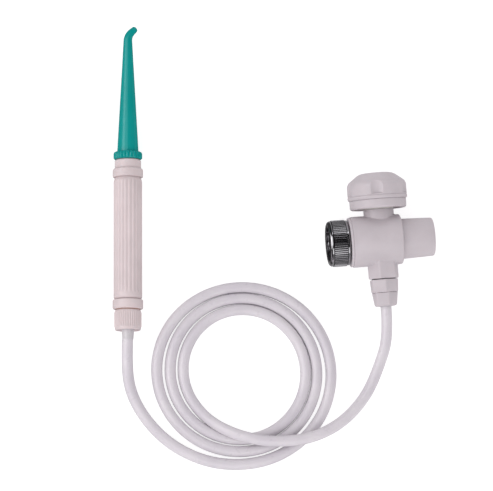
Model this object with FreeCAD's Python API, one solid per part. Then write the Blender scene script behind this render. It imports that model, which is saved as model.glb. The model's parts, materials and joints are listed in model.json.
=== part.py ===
"""Tap-fed oral irrigator: jet handpiece, free hose and a diverter valve with a swivel tap nut.

The irrigator lies flat on a table, +Z up. The row's origin is under the middle of the handpiece and
valve together. The handpiece lies along +Y with its jet forward. The valve lies to its right, with
its waterway nearly along +X and its knob forward.
"""
import FreeCAD, Part
import math
import os

V = FreeCAD.Vector

# ---------------------------------------------------------------- driving dimensions, mm and degrees

# Handpiece: stations along its axis, measured from the mouth of the hose nut.
NUT_BAND_A = 2.2
NUT_TOP_A = 12.0
REAR_RING_A = 12.35
BARREL_A = 17.9
FRONT_RING_A = 90.6
NOSE_A = 96.0
NOSE_TOP_A = 101.1
COLLAR_A = 101.3
COLLAR_TOP_A = 105.7
BEND_A = 172.6

HOSE_NUT_R = 8.0
RING_R = 8.95
BARREL_R = 8.4
BARREL_END_R = 7.25
BARREL_BORE_R = 6.6
NOSE_R = 7.75
COLLAR_R = 8.45
THREAD_R = 5.9
WATER_TUBE_R = 3.0
STEM_R = 3.4
STEM_HEAD_R = 4.7
JET_FOOT_R = 6.25
JET_BEND_R = 2.58
JET_END_R = 1.85
JET_BEND_RADIUS = 7.5
JET_BEND_DEG = 48.0
JET_END_LENGTH = 2.85
JET_HOLE_R = 0.45

NUT_KNURLS = 38
BARREL_FLUTES = 21
COLLAR_FLUTES = 23

# Valve: u runs along the waterway from the tap to the spout, v towards the knob, both from the
# crossing of the two axes.
NUT_OPEN_U = -31.5
NUT_INNER_U = -19.6
LIP_U = -18.9
BODY_INLET_U = -17.4
BODY_SPOUT_U = 12.0
SPOUT_END_U = 31.2
NECK_TOP_V = 18.4
SKIRT_V = 18.6
CAP_V = 23.8
CAP_BAND_V = 26.9
CAP_SHOULDER_V = 34.0
CAP_TOP_V = 39.8
BOSS_END_V = -22.6
ADAPTER_V = -23.05
CLAMP_V = -30.8
CLAMP_END_V = -38.9

BODY_R = 15.1
NECK_R = 8.9
BOSS_R = 9.3
BOSS_CORNER_DEG = 10.5
KNOB_R = 17.65
KNOB_FLAT_R = 9.8
SKIRT_R = 16.75
TAP_NUT_R = 13.7
TAP_THREAD_R = 10.46
BUSH_R = 8.9
WATERWAY_R = 5.5
SEAT_R = 6.6
ROTOR_R = 7.3
ROTOR_STEM_R = 3.5
DRIVE_SIDE = 4.9
SPOUT_R = 11.9
SPOUT_MOUTH_R = 9.0
SPIGOT_R = 9.2

# Inside the valve: the bush's end, the spigot's end and the floor of the spout's mouth.
BUSH_END_U = -9.8
SPIGOT_U = 8.2
SPOUT_FLOOR_U = 24.0
WASHER_U = NUT_INNER_U - 3.5

TAP_NUT_KNURLS = 66
KNOB_SCALLOPS = 5
FIRST_SCALLOP_DEG = 7.0

# Play between pieces: running on a joint, seated where nothing moves.
RUNNING = 0.2
SEATED = 0.1

# Hose: outside diameter, and the loose spiral of its turns.
HOSE_R = 3.25
HOSE_BORE_R = 2.2
COIL_X = -19.1
COIL_Y = -114.1
COIL_OUTER_R = 57.4
COIL_INNER_R = 30.2

# Places of the two assemblies on the table.
HANDPIECE_X = -85.35
HANDPIECE_Y = -91.05
VALVE_X = 63.4
VALVE_Y = -37.5
VALVE_YAW = 4.7

# The valve rests on its round body and on the knob's rim, which is wider, so the knob's end is raised.
RIM_V = CAP_V + 1.5
VALVE_PITCH = math.degrees(math.acos(BODY_R / math.hypot(KNOB_R, RIM_V)) - math.atan2(RIM_V, KNOB_R))

HANDPIECE = FreeCAD.Placement(V(HANDPIECE_X, HANDPIECE_Y, RING_R), FreeCAD.Rotation(V(0, 0, 1), 90))
VALVE = FreeCAD.Placement(
    V(VALVE_X, VALVE_Y, BODY_R),
    FreeCAD.Rotation(V(0, 0, 1), VALVE_YAW) * FreeCAD.Rotation(V(1, 0, 0), VALVE_PITCH))


# ---------------------------------------------------------------- helpers

def rounded_corner(before, corner, after, radius):
    """The arc that rounds one corner of an outline, with its two ends."""
    to_before = (before - corner).normalize()
    to_after = (after - corner).normalize()
    half = to_before.getAngle(to_after) / 2
    reach = radius / math.tan(half)
    middle = (to_before + to_after).normalize()
    start = corner + to_before * reach
    end = corner + to_after * reach
    top = corner + middle * (radius / math.sin(half) - radius)
    return start, Part.Arc(start, top, end).toShape(), end


def outline(points):
    """A closed wire in the X-Y plane. A point's third number, if any, is its rounding radius."""
    corners = [V(p[0], p[1], 0) for p in points]
    edges = []
    joins = []
    for i, point in enumerate(points):
        corner = corners[i]
        if len(point) == 3:
            after = corners[(i + 1) % len(points)]
            start, arc, end = rounded_corner(corners[i - 1], corner, after, point[2])
            joins.append((start, end))
            edges.append(arc)
        else:
            joins.append((corner, corner))
    for i, (_, end) in enumerate(joins):
        start = joins[(i + 1) % len(joins)][0]
        edges.append(Part.LineSegment(end, start).toShape())
    return Part.Wire(Part.__sortEdges__(edges))


def turned(points):
    """A solid of revolution about X, from an outline of (axial, radius) points."""
    return Part.Face(outline(points)).revolve(V(0, 0, 0), V(1, 0, 0), 360)


def rod(start, end, radius):
    """A plain cylinder along X."""
    return Part.makeCylinder(radius, end - start, V(start, 0, 0), V(1, 0, 0))


def ring(start, end, outer, inner):
    """A plain ring along X."""
    return rod(start, end, outer).cut(rod(start - 1, end + 1, inner))


def o_ring(at, middle_radius, section_radius):
    """A rubber ring round X."""
    return Part.makeTorus(middle_radius, section_radius, V(at, 0, 0), V(1, 0, 0))


def spun(shape, degrees):
    """The shape turned about X."""
    copy = shape.copy()
    copy.rotate(V(0, 0, 0), V(1, 0, 0), degrees)
    return copy


def toward_knob(shape):
    """Moves a shape made along X onto the valve's knob axis."""
    copy = shape.copy()
    copy.rotate(V(0, 0, 0), V(0, 0, 1), 90)
    return copy


def star_bar(start, end, outer, inner, count):
    """A bar along X with count sharp ridges."""
    corners = []
    for i in range(2 * count):
        radius = outer if i % 2 == 0 else inner
        angle = math.pi * i / count
        corners.append(V(start, radius * math.cos(angle), radius * math.sin(angle)))
    return Part.Face(Part.makePolygon(corners + corners[:1])).extrude(V(end - start, 0, 0))


def fluted_bar(start, end, outer, depth, count):
    """A bar along X with count rounded ribs, parted by narrow grooves."""
    edges = []
    groove = outer - depth
    for i in range(count):
        left, crown, right = (2 * math.pi * (i + k) / count for k in (0.0, 0.5, 1.0))
        points = [V(start, r * math.cos(a), r * math.sin(a))
                  for r, a in ((groove, left), (outer, crown), (groove, right))]
        edges.append(Part.Arc(*points).toShape())
    return Part.Face(Part.Wire(edges)).extrude(V(end - start, 0, 0))


def hexagon(at, radius, first_corner):
    """A hexagonal wire square to X. Corners are counted in degrees from +Y towards +Z."""
    corners = []
    for i in range(6):
        angle = math.radians(first_corner + 60 * i)
        corners.append(V(at, radius * math.cos(angle), radius * math.sin(angle)))
    return Part.makePolygon(corners + corners[:1])


def hex_bar(start, end, start_radius, end_radius, first_corner):
    """A hexagonal bar along X, tapered if its two corner radii differ."""
    ends = [hexagon(start, start_radius, first_corner), hexagon(end, end_radius, first_corner)]
    return Part.makeLoft(ends, True, True)


# ---------------------------------------------------------------- handpiece, made along X

def hose_nut():
    band = turned([(0, 0), (0, 7.1), (NUT_BAND_A, HOSE_NUT_R), (NUT_BAND_A, 0)])
    grip = star_bar(NUT_BAND_A, NUT_TOP_A, HOSE_NUT_R, HOSE_NUT_R - 0.4, NUT_KNURLS)
    grip = grip.common(turned([(0, 0), (0, 9), (NUT_TOP_A - 1.2, 9), (NUT_TOP_A, 7.3), (NUT_TOP_A, 0)]))
    nut = band.fuse(grip).removeSplitter()
    nut = nut.cut(rod(-1, 6, 3.7))
    return nut.cut(rod(5, NUT_TOP_A + 1, THREAD_R + SEATED))


def rear_gasket():
    return ring(NUT_TOP_A, REAR_RING_A, 7.2, THREAD_R + SEATED)


def rear_ring():
    hole = THREAD_R + SEATED
    return turned([(REAR_RING_A, hole), (REAR_RING_A, RING_R, 0.8), (BARREL_A, RING_R, 0.8), (BARREL_A, hole)])


def rear_fitting():
    """Threaded plug: the hose's barb behind, the water tube's socket in front."""
    ridge = HOSE_BORE_R + 0.35
    barb = [(0, HOSE_BORE_R)]
    for start in (1.0, 2.6, 4.2):
        barb += [(start, HOSE_BORE_R), (start + 1.2, ridge), (start + 1.2, HOSE_BORE_R)]
    socket = WATER_TUBE_R + SEATED
    front = BARREL_A + 5.0
    plug = [(6.2, HOSE_BORE_R), (6.2, THREAD_R), (front, THREAD_R), (front, 4.95), (front - 1.8, 4.95),
            (front - 1.8, socket), (BARREL_A - 1.0, socket), (BARREL_A - 1.0, 1.5), (0, 1.5)]
    return turned(barb + plug)


def grip_barrel():
    """Fluted sleeve with two tapered shoulders. The flutes stop short of the rear one."""
    plain_end = BARREL_A + 3.6
    plain = rod(BARREL_A, plain_end, BARREL_R)
    fluted = plain.fuse(fluted_bar(plain_end, FRONT_RING_A, BARREL_R, 0.45, BARREL_FLUTES))
    rear = 2.0
    front = 3.4
    envelope = turned([
        (BARREL_A, 0), (BARREL_A, BARREL_END_R), (BARREL_A + rear, BARREL_R + 0.05, 3.0),
        (FRONT_RING_A - front, BARREL_R + 0.05, 4.0), (FRONT_RING_A, BARREL_END_R), (FRONT_RING_A, 0)])
    hole = THREAD_R + SEATED
    bore = turned([
        (BARREL_A - 1, 0), (BARREL_A - 1, hole), (BARREL_A + 6, hole), (BARREL_A + 7, BARREL_BORE_R),
        (FRONT_RING_A - 8, BARREL_BORE_R), (FRONT_RING_A - 7, hole), (FRONT_RING_A + 1, hole),
        (FRONT_RING_A + 1, 0)])
    return fluted.common(envelope).cut(bore)


def water_tube():
    return ring(BARREL_A - 1.0, FRONT_RING_A - 3.5, WATER_TUBE_R, 2.0)


def tube_o_rings():
    """The water tube's two seals, one in each socket's mouth."""
    return [o_ring(at, WATER_TUBE_R + 0.95, 0.85) for at in (BARREL_A + 4.1, FRONT_RING_A - 5.6)]


def front_ring():
    hole = THREAD_R + SEATED
    return turned([(FRONT_RING_A, hole), (FRONT_RING_A, RING_R, 0.8), (NOSE_A - 0.8, RING_R, 0.4),
                   (NOSE_A, NOSE_R + 0.2), (NOSE_A, hole)])


def nose():
    """Neck piece: its thread goes through the front ring into the barrel."""
    back = FRONT_RING_A - 6.5
    socket = STEM_R + 0.3
    tube = WATER_TUBE_R + SEATED
    return turned([
        (back, 4.95), (back, THREAD_R), (NOSE_A, THREAD_R), (NOSE_A, NOSE_R, 0.2), (NOSE_TOP_A, NOSE_R, 0.6),
        (NOSE_TOP_A, socket), (FRONT_RING_A - 1.0, socket), (FRONT_RING_A - 1.0, 1.5),
        (FRONT_RING_A - 3.5, 1.5), (FRONT_RING_A - 3.5, tube), (back + 1.8, tube), (back + 1.8, 4.95)])


def tip_stem():
    """Hollow plug with a seal groove. Its head is held between the collar and the jet's foot."""
    start = FRONT_RING_A
    groove = start + 3.0
    head = COLLAR_A + 1.2
    return turned([
        (start, 1.2), (start, STEM_R - 0.4), (start + 0.6, STEM_R), (groove, STEM_R), (groove, 2.4),
        (groove + 1.6, 2.4), (groove + 1.6, STEM_R), (head, STEM_R), (head, STEM_HEAD_R),
        (head + 2.0, STEM_HEAD_R), (head + 2.0, 1.2)])


def tip_o_ring():
    return o_ring(FRONT_RING_A + 3.8, 3.0, 0.55)


def tip_collar():
    """Fluted colour ring, with a floor that holds the stem's head."""
    fluted = fluted_bar(COLLAR_A, COLLAR_TOP_A, COLLAR_R, 0.45, COLLAR_FLUTES)
    envelope = turned([(COLLAR_A, STEM_R + 0.3), (COLLAR_A, 7.7), (COLLAR_A + 0.5, COLLAR_R + 0.05),
                       (COLLAR_TOP_A - 0.7, COLLAR_R + 0.05), (COLLAR_TOP_A, 7.5),
                       (COLLAR_TOP_A, JET_FOOT_R + 0.3), (COLLAR_A + 1.0, JET_FOOT_R + 0.3),
                       (COLLAR_A + 1.0, STEM_R + 0.3)])
    return fluted.common(envelope)


def bent_end(radius, end_radius, length):
    """The jet's bend and its short straight end, from a circle of the given radius at the bend's start."""
    start = V(BEND_A, 0, 0)
    centre = V(BEND_A, -JET_BEND_RADIUS, 0)
    circle = Part.Face(Part.Wire(Part.makeCircle(radius, start, V(1, 0, 0))))
    bend = circle.revolve(centre, V(0, 0, -1), JET_BEND_DEG)
    turn = math.radians(JET_BEND_DEG)
    joint = centre + V(math.sin(turn), math.cos(turn), 0) * JET_BEND_RADIUS
    ahead = V(math.cos(turn), -math.sin(turn), 0)
    return bend, Part.makeCone(radius, end_radius, length, joint, ahead)


def jet_tip():
    foot = COLLAR_A + 1.0
    shell = turned([(foot, 0), (foot, JET_FOOT_R), (COLLAR_TOP_A + 0.4, JET_FOOT_R), (138.0, 4.48),
                    (157.0, 3.4), (BEND_A, JET_BEND_R), (BEND_A, 0)])
    bend, end = bent_end(JET_BEND_R, JET_END_R, JET_END_LENGTH)
    shell = shell.fuse(bend).fuse(end)
    head_room = turned([(foot - 1, 0), (foot - 1, STEM_HEAD_R + RUNNING), (foot + 2.4, STEM_HEAD_R + RUNNING),
                        (foot + 2.4, 2.2), (130.0, 1.6), (BEND_A, JET_HOLE_R), (BEND_A, 0)])
    hole_bend, hole_end = bent_end(JET_HOLE_R, JET_HOLE_R + 0.01, JET_END_LENGTH + 1)
    return shell.cut(head_room.fuse(hole_bend).fuse(hole_end))


def hose_sleeve():
    """Short taper that closes the hose nut's mouth round the hose."""
    return turned([(-5.0, HOSE_R + 0.02), (-5.0, HOSE_R + 0.1), (0, 3.6), (3.0, 3.6), (3.0, HOSE_R + 0.02)])


# ---------------------------------------------------------------- valve, made with u along X

def valve_body():
    """Round body, with a neck for the knob and a hexagonal boss for the hose connector."""
    shell = turned([(BODY_INLET_U, 0), (BODY_INLET_U, BODY_R, 0.5), (BODY_SPOUT_U, BODY_R - 0.4, 1.0),
                    (BODY_SPOUT_U, 0)])
    neck = toward_knob(turned([(0, 0), (0, 9.6), (14.9, 9.6), (15.6, NECK_R), (NECK_TOP_V, NECK_R),
                               (NECK_TOP_V, 0)]))
    boss = hex_bar(BOSS_END_V, 0, BOSS_R, BOSS_R, BOSS_CORNER_DEG)
    boss = boss.common(turned([(BOSS_END_V, 0), (BOSS_END_V, BOSS_R - 0.7), (BOSS_END_V + 1.0, BOSS_R + 0.1),
                               (0, BOSS_R + 0.1), (0, 0)]))
    shell = shell.fuse([neck, toward_knob(boss)]).removeSplitter()
    waterway = turned([
        (BODY_INLET_U - 1, 0), (BODY_INLET_U - 1, BUSH_R + SEATED), (BUSH_END_U, BUSH_R + SEATED),
        (BUSH_END_U, SEAT_R + SEATED), (SPIGOT_U, SEAT_R + SEATED), (SPIGOT_U, SPIGOT_R + SEATED),
        (BODY_SPOUT_U + 1, SPIGOT_R + SEATED),
        (BODY_SPOUT_U + 1, 0)])
    rotor_hole = turned([
        (BOSS_END_V - 1, 0), (BOSS_END_V - 1, THREAD_R + SEATED), (-16.0, THREAD_R + SEATED),
        (-16.0, 2.0), (-11.6, 2.0), (-11.6, ROTOR_R + RUNNING), (NECK_TOP_V + 1, ROTOR_R + RUNNING),
        (NECK_TOP_V + 1, 0)])
    return shell.cut(waterway).cut(toward_knob(rotor_hole))


def lip_ring():
    hole = BUSH_R + SEATED
    return turned([(LIP_U, hole), (LIP_U, 14.6, 0.5), (BODY_INLET_U, 14.6, 0.3), (BODY_INLET_U, hole)])


def inlet_bush():
    """Hollow bolt that holds the tap nut on the body and lets it turn."""
    flange = NUT_INNER_U - 2.0
    return turned([(flange - 1.5, 5.4), (flange - 1.5, 10.1), (flange, 10.1), (flange, BUSH_R),
                   (BUSH_END_U, BUSH_R), (BUSH_END_U, 5.4)])


def faucet_nut():
    """Swivel nut: threaded mouth, grip band, and a floor that turns on the bush."""
    band = NUT_OPEN_U + 2.3
    band_end = NUT_INNER_U - 1.6
    floor = NUT_INNER_U - 1.8
    rim = turned([(NUT_OPEN_U, 0), (NUT_OPEN_U, 12.5), (band, TAP_NUT_R - 0.3), (band, 0)])
    grip = star_bar(band, band_end, TAP_NUT_R, TAP_NUT_R - 0.5, TAP_NUT_KNURLS)
    collar = turned([(band_end, 0), (band_end, 13.3), (NUT_INNER_U, 13.3, 0.4), (NUT_INNER_U, 0)])
    bore = turned([
        (NUT_OPEN_U - 1, 0), (NUT_OPEN_U - 1, 11.3), (NUT_OPEN_U, 11.3), (NUT_OPEN_U + 0.8, TAP_THREAD_R),
        (-25.2, TAP_THREAD_R), (-24.8, 11.1), (floor, 11.1), (floor, BUSH_R + RUNNING),
        (NUT_INNER_U + 1, BUSH_R + RUNNING), (NUT_INNER_U + 1, 0)])
    return rim.fuse([grip, collar]).removeSplitter().cut(bore)


def faucet_washer():
    face = WASHER_U
    return turned([(face - 2.1, 6.0), (face - 2.1, 10.2, 0.3), (face, 10.2, 0.3), (face, 6.0)])


def inlet_screen():
    """Strainer disc with three rings of holes."""
    face = WASHER_U
    disc = rod(face - 0.8, face, 5.9)
    holes = []
    for count, radius in ((1, 0.0), (6, 1.8), (12, 3.6)):
        for i in range(count):
            angle = 2 * math.pi * i / count
            hole = rod(face - 2, face + 1, 0.55)
            hole.translate(V(0, radius * math.cos(angle), radius * math.sin(angle)))
            holes.append(hole)
    return disc.cut(Part.makeCompound(holes))


def seat(start, end):
    """Saddle-shaped seal between the rotor and a waterway."""
    block = ring(start, end, SEAT_R, WATERWAY_R)
    return block.cut(toward_knob(rod(-20, 20, ROTOR_R + RUNNING)))


def inlet_seat():
    return seat(BUSH_END_U, -2.0)


def spout_seat():
    return seat(2.0, SPIGOT_U)


def diverter_rotor():
    """Rotor with a straight way for the spout and an angled way down to the hose."""
    top = 9.4
    rotor = turned([(-11.4, 0), (-11.4, ROTOR_R - 0.4), (-11.0, ROTOR_R), (7.2, ROTOR_R), (7.2, 6.1),
                    (8.7, 6.1), (8.7, ROTOR_R), (top, ROTOR_R), (top, ROTOR_STEM_R), (21.6, ROTOR_STEM_R),
                    (21.6, 0)])
    half = DRIVE_SIDE / 2
    drive = Part.makeBox(5.4, DRIVE_SIDE, DRIVE_SIDE, V(21.6, -half, -half))
    drive = drive.common(rod(21, 28, ROTOR_STEM_R - 0.2))
    rotor = rotor.fuse(drive).cut(rod(19.5, 28, 1.35))
    straight = Part.makeCylinder(2.5, 20, V(2.8, -10, 0), V(0, 1, 0))
    side = Part.makeCylinder(1.9, 10, V(-2.8, 0, -10), V(0, 0, 1))
    down = rod(-12, -2.8, 1.9)
    return toward_knob(rotor.cut(straight).cut(side.fuse(down)))


def rotor_o_ring():
    return toward_knob(o_ring(7.95, 6.78, 0.6))


def bonnet():
    """Screwed cover over the rotor. Its flange carries the knob's two stop lugs."""
    start = 9.7
    hole = ROTOR_STEM_R + RUNNING
    cover = turned([(start, 5.1), (start, 7.4), (NECK_TOP_V, 7.4), (NECK_TOP_V, NECK_R),
                    (NECK_TOP_V + 2.0, NECK_R), (NECK_TOP_V + 2.0, hole), (start + 1.6, hole),
                    (start + 1.6, 5.1)])
    lug = Part.makeBox(1.6, 2.6, 4.0, V(NECK_TOP_V + 0.4, NECK_R - 0.6, -2.0))
    lugs = [spun(lug, angle) for angle in (-20, 110)]
    return toward_knob(cover.fuse(lugs))


def stem_o_ring():
    return toward_knob(o_ring(10.5, 4.35, 0.62))


def knob_skirt():
    """Lower disc of the knob: skirt, floor, rim for the cap, square drive and stop rib."""
    floor = 22.0
    skirt = turned([
        (SKIRT_V, 14.4), (SKIRT_V, SKIRT_R, 1.2), (CAP_V, SKIRT_R), (CAP_V, 14.9), (CAP_V + 2.4, 14.9),
        (CAP_V + 2.4, 13.4), (CAP_V, 13.4), (CAP_V, 5.5), (27.0, 5.5), (27.0, 0), (21.6, 0), (21.6, 5.5),
        (floor, 5.5), (floor, 14.4)])
    hole = DRIVE_SIDE + 2 * 0.05
    square = Part.makeBox(10, hole, hole, V(20, -hole / 2, -hole / 2))
    rib = Part.makeBox(floor - 19.0, 14.6 - 9.4, 1.6, V(19.0, 9.4, -0.8))
    return toward_knob(skirt.cut(square).fuse(rib).removeSplitter())


def knob_screw():
    """Pan-head screw with a cross recess."""
    head = 27.0
    screw = turned([(20.0, 0), (20.0, 0.9), (20.5, 1.25), (head, 1.25), (head, 3.0), (head + 1.0, 3.0),
                    (head + 1.9, 2.0), (head + 1.9, 0)])
    for angle in (0, 90):
        slot = Part.makeBox(1.2, 0.7, 3.0, V(head + 1.0, -0.35, -1.5))
        screw = screw.cut(spun(slot, angle))
    return toward_knob(screw)


def knob_cap():
    """Domed cap over a rounded rim, with finger scallops."""
    side = KNOB_R - 0.15
    outside = [
        (CAP_V, 0), (CAP_V, KNOB_R - 1.4), (CAP_V + 0.5, KNOB_R - 0.4), (RIM_V, KNOB_R),
        (CAP_BAND_V, side), (CAP_SHOULDER_V, side, 4.5), (CAP_TOP_V, KNOB_FLAT_R, 8.0), (CAP_TOP_V, 0)]
    cap = turned(outside)
    depth = 1.2
    half_angle = math.radians(12)
    chord_x = side * math.cos(half_angle)
    chord_y = side * math.sin(half_angle)
    near = side - depth
    centre = (chord_x ** 2 + chord_y ** 2 - near ** 2) / (2 * (chord_x - near))
    for i in range(KNOB_SCALLOPS):
        cutter = rod(CAP_BAND_V, CAP_TOP_V + 1, centre - near)
        cutter.translate(V(0, 0, centre))
        cap = cap.cut(spun(cutter, 360 * i / KNOB_SCALLOPS - FIRST_SCALLOP_DEG))
    hollow = turned([(CAP_V - 1, 0), (CAP_V - 1, 15.0), (32.5, 15.0, 2.0), (37.4, 7.0, 3.0), (37.4, 0)])
    return toward_knob(cap.cut(hollow))


def spout():
    """Nozzle with a screwed spigot and a recessed mouth."""
    groove = 8.15
    return turned([
        (SPIGOT_U, 6.2), (SPIGOT_U, SPIGOT_R), (9.6, SPIGOT_R), (9.6, groove), (10.9, groove),
        (10.9, SPIGOT_R), (BODY_SPOUT_U, SPIGOT_R), (BODY_SPOUT_U, SPOUT_R, 0.3),
        (SPOUT_END_U, SPOUT_R - 0.6, 1.2), (SPOUT_END_U, SPOUT_MOUTH_R),
        (SPOUT_FLOOR_U, SPOUT_MOUTH_R), (SPOUT_FLOOR_U, 6.2)])


def spout_o_ring():
    return o_ring(10.25, 8.7, 0.5)


def spout_insert():
    """Flow straightener: a disc with a ring of six round holes about a seventh."""
    disc = rod(SPOUT_FLOOR_U, SPOUT_FLOOR_U + 2.2, SPOUT_MOUTH_R - SEATED)
    holes = [rod(23, 27, 2.0)]
    for i in range(6):
        hole = rod(23, 27, 2.0)
        hole.translate(V(0, 5.4, 0))
        holes.append(spun(hole, 60 * i))
    return disc.cut(Part.makeCompound(holes))


def outlet_seal():
    return toward_knob(ring(ADAPTER_V, BOSS_END_V, 6.9, THREAD_R + SEATED))


def outlet_adapter():
    """Hexagonal connector: screwed spigot above, clamp thread and hose barb below."""
    grip = hex_bar(CLAMP_V, ADAPTER_V, 8.66, 9.12, 90)
    grip = grip.common(turned([(CLAMP_V, 0), (CLAMP_V, 8.2), (CLAMP_V + 0.6, 9.2), (ADAPTER_V - 0.6, 9.2),
                               (ADAPTER_V, 8.6), (ADAPTER_V, 0)]))
    ridge = HOSE_BORE_R + 0.35
    stem = turned([(CLAMP_END_V, 0), (CLAMP_END_V, HOSE_BORE_R), (-37.6, ridge), (-37.6, HOSE_BORE_R),
                   (-36.2, ridge), (-36.2, 4.5), (CLAMP_V, 4.5), (CLAMP_V, THREAD_R),
                   (-16.2, THREAD_R), (-16.2, 0)])
    connector = grip.fuse(stem).removeSplitter()
    return toward_knob(connector.cut(rod(CLAMP_END_V - 1, -16, 1.6)))


def clamp_nut():
    """Tapered hexagonal nut that grips the hose on the barb."""
    nut = hex_bar(CLAMP_END_V, CLAMP_V, 7.04, 7.97, 100)
    nut = nut.common(turned([(CLAMP_END_V, 0), (CLAMP_END_V, 5.9), (CLAMP_END_V + 1.3, 7.1),
                             (CLAMP_V - 0.4, 8.1), (CLAMP_V, 7.6), (CLAMP_V, 0)]))
    bore = turned([(CLAMP_END_V - 1, 0), (CLAMP_END_V - 1, 3.5), (-36.6, 3.5), (-36.3, 4.6),
                   (CLAMP_V + 1, 4.6), (CLAMP_V + 1, 0)])
    return toward_knob(nut.cut(bore))


# ---------------------------------------------------------------- hose

def valve_point(u, v, w):
    """A place in the valve's frame, on the table."""
    return VALVE.multVec(V(u, v, w))


# The two uncoiled stretches, as points that their runs meet at.
HANDLE_ROUTE = [
    V(HANDPIECE_X, HANDPIECE_Y, RING_R),
    V(-86.1, -107.5, 8.8),
    V(-84.2, -126.0, 3.6),
    V(-74.6, -143.5, HOSE_R),
    V(-59.8, -157.9, HOSE_R),
    V(-41.0, -167.1, HOSE_R),
    V(-20.8, -169.8, HOSE_R),
]
VALVE_ROUTE = [
    V(-44.3, -137.6, HOSE_R),
    V(-34.0, -146.1, 4.4),
    V(-18.4, -153.6, 10.2),
    V(0.1, -156.5, 10.4),
    V(21.6, -154.5, 10.4),
    V(40.8, -144.8, 6.0),
    V(55.5, -128.5, 3.3),
    V(63.4, -109.9, 4.6),
    valve_point(0, CLAMP_END_V - 17.5, 0),
    valve_point(0, CLAMP_END_V, 0),
]


def hose_path(points):
    """Straight runs joined by tangent arcs, each as large as its two runs allow."""
    edges = []
    radii = []
    last = points[0]
    for i in range(1, len(points) - 1):
        before, corner, after = points[i - 1:i + 2]
        shorter = min(before.distanceToPoint(corner), corner.distanceToPoint(after))
        turn = (corner - before).getAngle(after - corner)
        radius = 0.45 * shorter / math.tan(turn / 2)
        start, arc, end = rounded_corner(before, corner, after, radius)
        edges += [Part.LineSegment(last, start).toShape(), arc]
        radii.append(radius)
        last = end
    edges.append(Part.LineSegment(last, points[-1]).toShape())
    return Part.Wire(edges), radii


def hose_lead(name, points):
    """A solid hose along the route. Prints its bend radii and tests its volume."""
    path, radii = hose_path(points)
    direction = points[1] - points[0]
    section = Part.Wire(Part.makeCircle(HOSE_R, points[0], direction))
    sweep = Part.BRepOffsetAPI.MakePipeShell(path)
    sweep.add(section)
    sweep.build()
    sweep.makeSolid()
    tube = sweep.shape()
    expected = math.pi * HOSE_R ** 2 * path.Length
    print(f"{name}: length {path.Length:.1f}, volume over section x length {tube.Volume / expected:.4f}")
    print("  radii " + " ".join(f"{radius:.0f}" for radius in radii))
    return tube


def hose_lead_handle():
    return hose_lead("hose_lead_handle", HANDLE_ROUTE)


def hose_lead_valve():
    return hose_lead("hose_lead_valve", VALVE_ROUTE)


def hose_coil():
    """The outer shape of the loose turns, which lie in one layer."""
    height = 2 * HOSE_R
    rounding = 0.9 * HOSE_R
    ring_outline = outline([(COIL_INNER_R, 0, rounding), (COIL_OUTER_R, 0, rounding),
                            (COIL_OUTER_R, height, rounding), (COIL_INNER_R, height, rounding)])
    section = Part.Face(ring_outline)
    section.rotate(V(0, 0, 0), V(1, 0, 0), 90)
    coil = section.revolve(V(0, 0, 0), V(0, 0, 1), 360)
    coil.translate(V(COIL_X, COIL_Y, 0))
    return coil


# ---------------------------------------------------------------- export

HANDPIECE_PIECES = [
    hose_nut, rear_gasket, rear_ring, rear_fitting, grip_barrel, water_tube, tube_o_rings, front_ring,
    nose, tip_stem, tip_o_ring, tip_collar, jet_tip, hose_sleeve]
VALVE_PIECES = [
    valve_body, lip_ring, inlet_bush, faucet_nut, faucet_washer, inlet_screen, inlet_seat, spout_seat,
    diverter_rotor, rotor_o_ring, bonnet, stem_o_ring, knob_skirt, knob_screw, knob_cap, spout,
    spout_o_ring, spout_insert, outlet_seal, outlet_adapter, clamp_nut]
HOSE_PIECES = [hose_lead_handle, hose_coil, hose_lead_valve]


def placed(made, placement):
    """The piece's solids as one shape, where the piece lies on the table."""
    parts = made if isinstance(made, list) else [made]
    solids = [solid for part in parts for solid in part.Solids]
    shape = solids[0] if len(solids) == 1 else Part.makeCompound(solids)
    return shape.transformed(placement.toMatrix())


def export_all():
    os.makedirs("parts", exist_ok=True)
    groups = ((HANDPIECE_PIECES, HANDPIECE), (VALVE_PIECES, VALVE), (HOSE_PIECES, FreeCAD.Placement()))
    box = FreeCAD.BoundBox()
    for pieces, placement in groups:
        for piece in pieces:
            shape = placed(piece(), placement)
            if not shape.isValid():
                print(f"{piece.__name__} is not valid")
            shape.exportStep(f"parts/{piece.__name__}.step")
            if pieces is not HOSE_PIECES:
                box.add(shape.BoundBox)
            print(f"{piece.__name__}: {len(shape.Solids)} solid, {shape.Volume:.1f} mm3")
    print(f"without the hose: X {box.XMin:.2f} to {box.XMax:.2f}, Y {box.YMin:.2f} to {box.YMax:.2f}, "
          f"Z {box.ZMin:.2f} to {box.ZMax:.2f}")


export_all()
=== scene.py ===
"""Looks of the tap-fed oral irrigator: jet handpiece, coiled hose and diverter valve, lying on a table."""

import json
import math

import bmesh
import bpy
from mathutils import Matrix, Vector

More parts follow.
